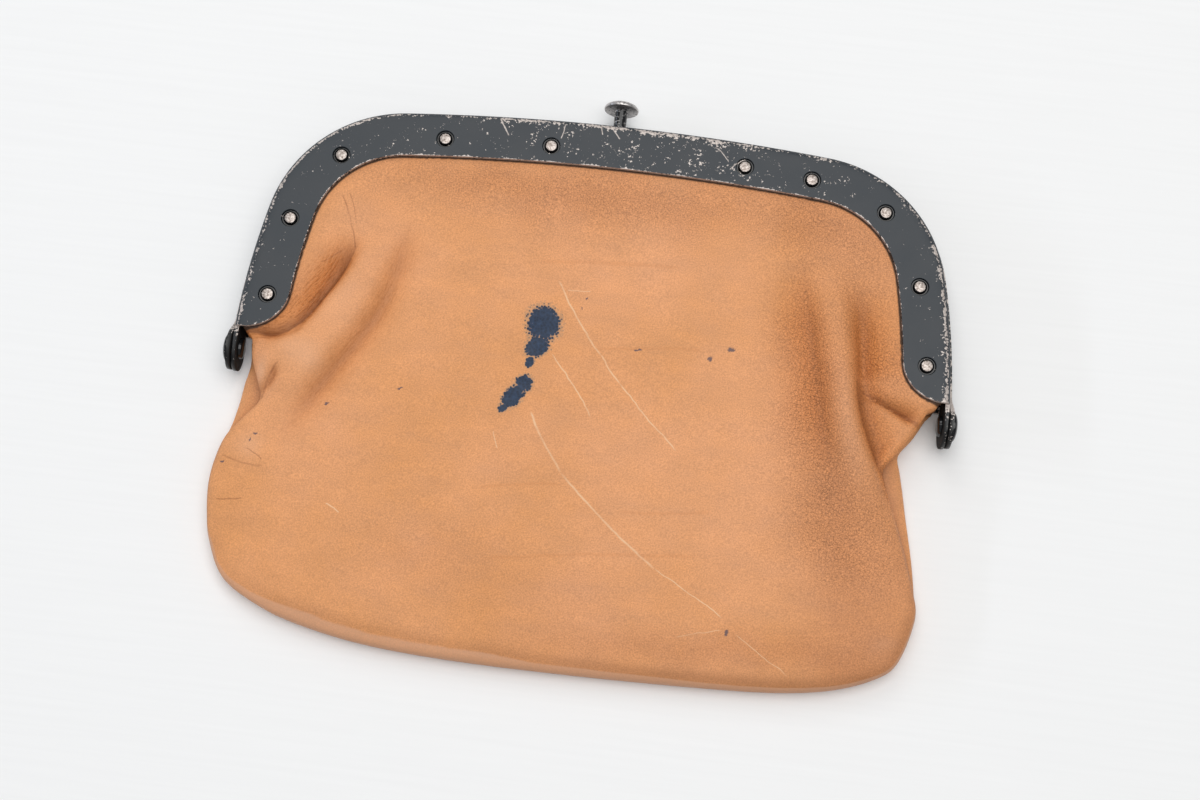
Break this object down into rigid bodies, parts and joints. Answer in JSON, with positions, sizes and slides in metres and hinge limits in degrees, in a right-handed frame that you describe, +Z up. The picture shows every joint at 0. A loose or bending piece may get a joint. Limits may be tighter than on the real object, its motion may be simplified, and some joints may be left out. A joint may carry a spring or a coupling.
{
  "type": "money pouch",
  "caption": "Leather money pouch lying on its back: a flat bag riveted into a hinged arch frame of black-painted pressed steel, closed by a push button on top.",
  "frame": {"origin": "on the table, under the middle of the lying pouch's box", "axes": "+X across the pouch, +Y towards the push button, +Z up through the front panel"},
  "size_m": [0.22, 0.1762, 0.0156],
  "materials": {
    "frame_paint": "worn satin black",
    "rivet_steel": "worn bare steel",
    "tan_leather": "smooth vegetable-tanned"
  },
  "bodies": {
    "pouch": {"frame_front": "frame_paint", "frame_back": "frame_paint", "hinge_rivet_left": "frame_paint", "hinge_rivet_right": "frame_paint", "leather_front": "tan_leather", "leather_back": "tan_leather", "rivet_front_1": "rivet_steel", "rivet_front_2": "rivet_steel", "rivet_front_3": "rivet_steel", "rivet_front_4": "rivet_steel", "rivet_front_5": "rivet_steel", "rivet_front_6": "rivet_steel", "rivet_front_7": "rivet_steel", "rivet_front_8": "rivet_steel", "rivet_front_9": "rivet_steel", "rivet_front_10": "rivet_steel", "rivet_back_1": "rivet_steel", "rivet_back_2": "rivet_steel", "rivet_back_3": "rivet_steel", "rivet_back_4": "rivet_steel", "rivet_back_5": "rivet_steel", "rivet_back_6": "rivet_steel", "rivet_back_7": "rivet_steel", "rivet_back_8": "rivet_steel", "rivet_back_9": "rivet_steel", "rivet_back_10": "rivet_steel"},
    "button": {"push_button": "frame_paint"}
  },
  "joints": [
    {"name": "button_press", "type": "slide", "parent": "pouch", "child": "button", "axis": [0, -1, 0], "range_m": [0, 0.003], "stiffness_N_per_m": 400}
  ]
}
